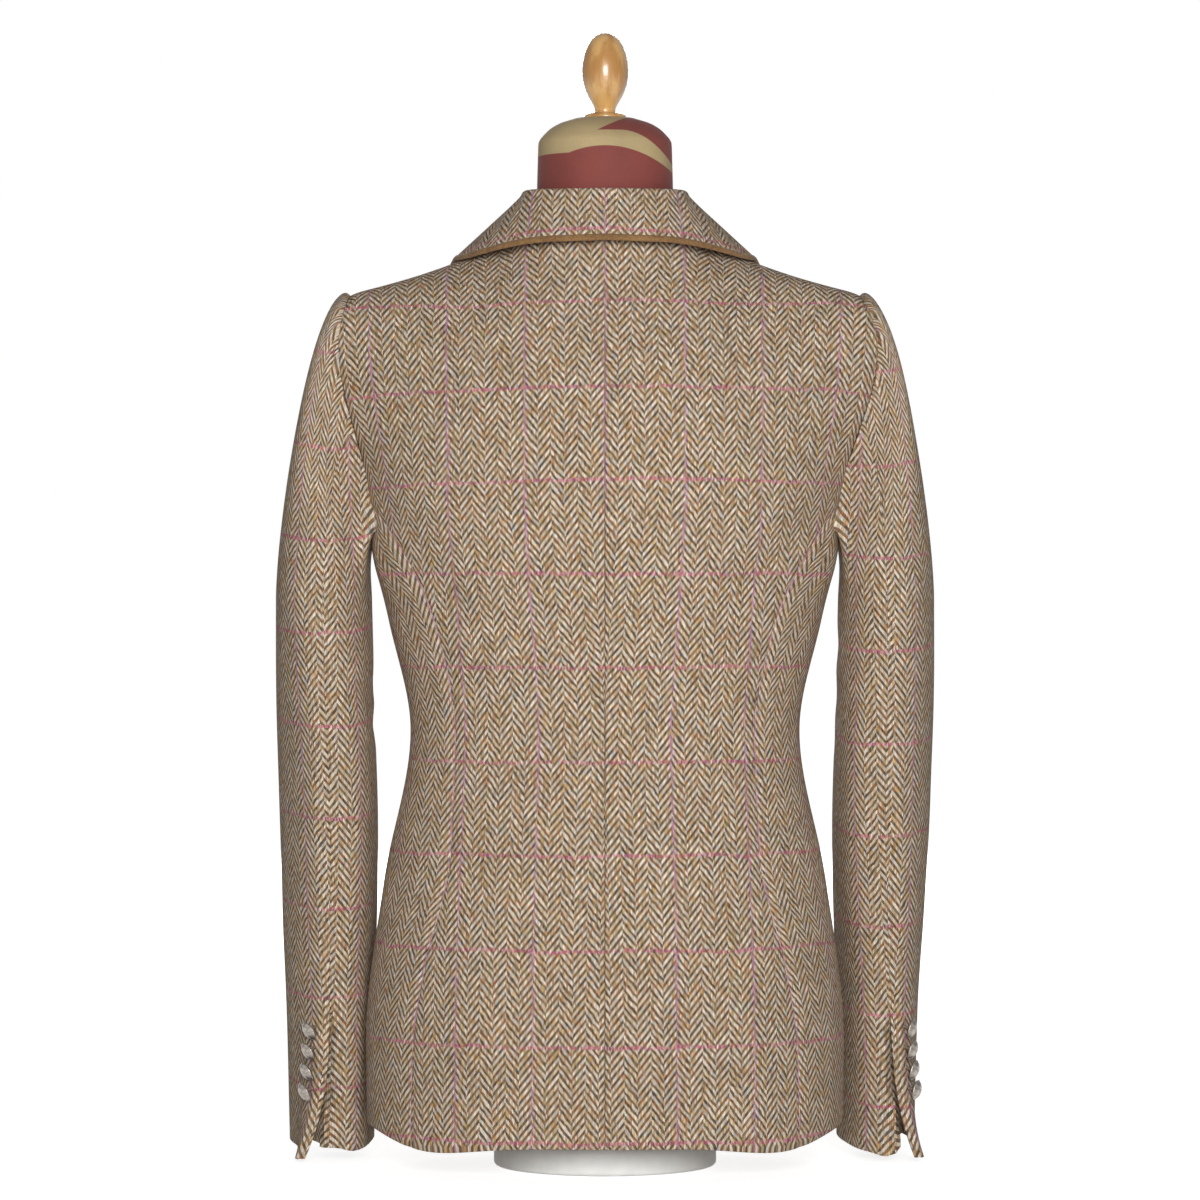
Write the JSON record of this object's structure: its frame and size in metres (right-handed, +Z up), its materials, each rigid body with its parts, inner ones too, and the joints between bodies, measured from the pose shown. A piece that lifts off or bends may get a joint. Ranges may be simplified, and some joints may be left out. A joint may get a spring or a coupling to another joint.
{
  "type": "hacking jacket on dress form",
  "caption": "Fitted herringbone tweed riding jacket with piped collar and vented button cuffs, standing on a limbless dress form with a turned finial.",
  "frame": {"origin": "centre of the flat underside of the form's foot, on the surface it stands on", "axes": "+Z up; the jacket's front faces -Y and its back +Y; the wearer's left is +X"},
  "size_m": [0.4747, 0.272, 0.814],
  "materials": {
    "tweed": "herringbone wool tweed with a windowpane check",
    "suede": "tan suede piping",
    "pewter": "satin pewter",
    "form_cover": "tan and brick-red cotton cover",
    "turned_wood": "honey varnish",
    "painted_wood": "off-white paint"
  },
  "bodies": {
    "root": {"back_left": "tweed", "side_left": "tweed", "front_left": "tweed", "lapel_left": "tweed", "top_sleeve_left": "tweed", "under_sleeve_left": "tweed", "back_right": "tweed", "side_right": "tweed", "front_right": "tweed", "lapel_right": "tweed", "top_sleeve_right": "tweed", "under_sleeve_right": "tweed", "collar": "tweed", "collar_piping": "suede", "cuff_button_left_1": "pewter", "cuff_button_left_2": "pewter", "cuff_button_left_3": "pewter", "cuff_button_left_4": "pewter", "cuff_button_right_1": "pewter", "cuff_button_right_2": "pewter", "cuff_button_right_3": "pewter", "cuff_button_right_4": "pewter", "front_button_1": "pewter", "front_button_2": "pewter", "form_body": "form_cover", "form_flange": "turned_wood", "form_finial": "turned_wood", "form_foot": "painted_wood"}
  },
  "joints": []
}
